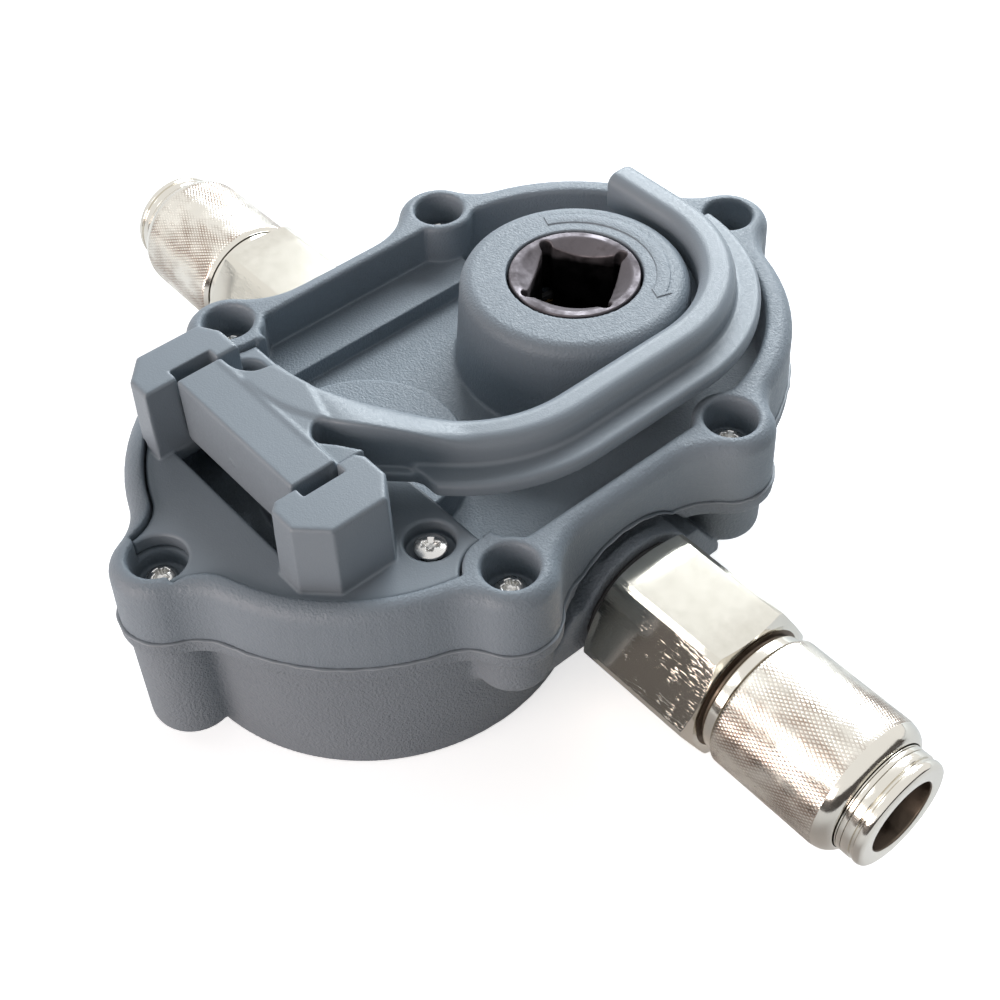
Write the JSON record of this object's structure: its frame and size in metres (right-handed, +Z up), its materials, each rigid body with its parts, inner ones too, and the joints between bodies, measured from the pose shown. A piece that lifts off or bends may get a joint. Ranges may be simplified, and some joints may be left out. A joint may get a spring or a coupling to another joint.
{
  "type": "manual bilge pump",
  "caption": "Hand-driven bilge pump: grey two-part housing, square drive in a round boss, offset pump pot, quick couplings on both sides and a fold-out hanging hook.",
  "frame": {"origin": "centre of the bounding box's underside, on the plane of the pump pot's flat foot", "axes": "+X along the two couplings, +Y from the pump pot to the drive boss, +Z up along the drive shaft"},
  "size_m": [0.1776, 0.129, 0.0493],
  "materials": {
    "housing_grey": "blue-grey glass-filled plastic with a fine spark-eroded grain",
    "housing_grey_low": "the same grey plastic, coarser grain",
    "smooth_grey": "the same grey plastic, smoother satin",
    "dark_steel": "dark oiled steel",
    "steel": "bright zinc or stainless steel",
    "nickel": "nickel-plated brass, warm tint",
    "white_plastic": "natural acetal",
    "bronze": "sintered bronze",
    "rubber": "black nitrile rubber"
  },
  "bodies": {
    "pump": {"upper_housing": "housing_grey", "lower_housing": "housing_grey_low", "cover_plate": "smooth_grey", "housing_seal": "rubber", "drive_bush_upper": "bronze", "drive_bush_lower": "bronze", "drive_seal": "rubber", "chamber_cover": "steel", "chamber_seal": "rubber", "shaft_seal": "rubber", "shaft_bush_upper": "bronze", "shaft_bush_lower": "bronze", "housing_screw_1": "steel", "housing_screw_2": "steel", "housing_screw_3": "steel", "housing_screw_4": "steel", "housing_screw_5": "steel", "housing_screw_6": "steel", "plate_screw_right": "steel", "plate_screw_left": "steel", "front_coupling_body": "nickel", "front_sleeve_spring": "steel", "front_valve_spring": "steel", "front_mouth_seal": "rubber", "front_port_seal": "rubber", "front_stop_ring": "steel", "front_latch_ball_1": "steel", "front_latch_ball_2": "steel", "front_latch_ball_3": "steel", "back_coupling_body": "nickel", "back_sleeve_spring": "steel", "back_valve_spring": "steel", "back_mouth_seal": "rubber", "back_port_seal": "rubber", "back_stop_ring": "steel", "back_latch_ball_1": "steel", "back_latch_ball_2": "steel", "back_latch_ball_3": "steel"},
    "drive": {"drive_socket": "dark_steel", "drive_gear": "white_plastic"},
    "pump_shaft": {"impeller_shaft": "steel", "pinion": "white_plastic", "impeller": "rubber"},
    "hook": {"hanger_hook": "smooth_grey"},
    "front_sleeve": {"front_coupling_sleeve": "nickel"},
    "back_sleeve": {"back_coupling_sleeve": "nickel"},
    "front_valve": {"front_valve_poppet": "nickel"},
    "back_valve": {"back_valve_poppet": "nickel"}
  },
  "joints": [
    {"name": "drive_spin", "type": "hinge", "parent": "pump", "child": "drive", "pos_m": [0, 0.02175, 0.03], "axis": [0, 0, 1], "continuous": true},
    {"name": "shaft_spin", "type": "hinge", "parent": "pump", "child": "pump_shaft", "pos_m": [0, -0.02175, 0.02], "axis": [0, 0, 1], "continuous": true},
    {"name": "hook_fold", "type": "hinge", "parent": "pump", "child": "hook", "pos_m": [-0.0019, -0.0372, 0.0408], "axis": [1, 0, 0], "range_deg": [0, 90]},
    {"name": "front_sleeve_slide", "type": "slide", "parent": "pump", "child": "front_sleeve", "axis": [-1, 0, 0], "range_m": [0, 0.0024], "stiffness_N_per_m": 1500, "springref_m": -0.004, "deforming": ["front_sleeve_spring"]},
    {"name": "back_sleeve_slide", "type": "slide", "parent": "pump", "child": "back_sleeve", "axis": [1, 0, 0], "range_m": [0, 0.0024], "stiffness_N_per_m": 1500, "springref_m": -0.004, "deforming": ["back_sleeve_spring"]},
    {"name": "front_valve_slide", "type": "slide", "parent": "pump", "child": "front_valve", "axis": [-1, 0, 0], "range_m": [0, 0.004], "stiffness_N_per_m": 600, "springref_m": -0.004, "deforming": ["front_valve_spring"]},
    {"name": "back_valve_slide", "type": "slide", "parent": "pump", "child": "back_valve", "axis": [1, 0, 0], "range_m": [0, 0.004], "stiffness_N_per_m": 600, "springref_m": -0.004, "deforming": ["back_valve_spring"]}
  ],
  "couplings": [
    {"joint": "shaft_spin", "follows": "drive_spin", "ratio": -1.6364}
  ]
}
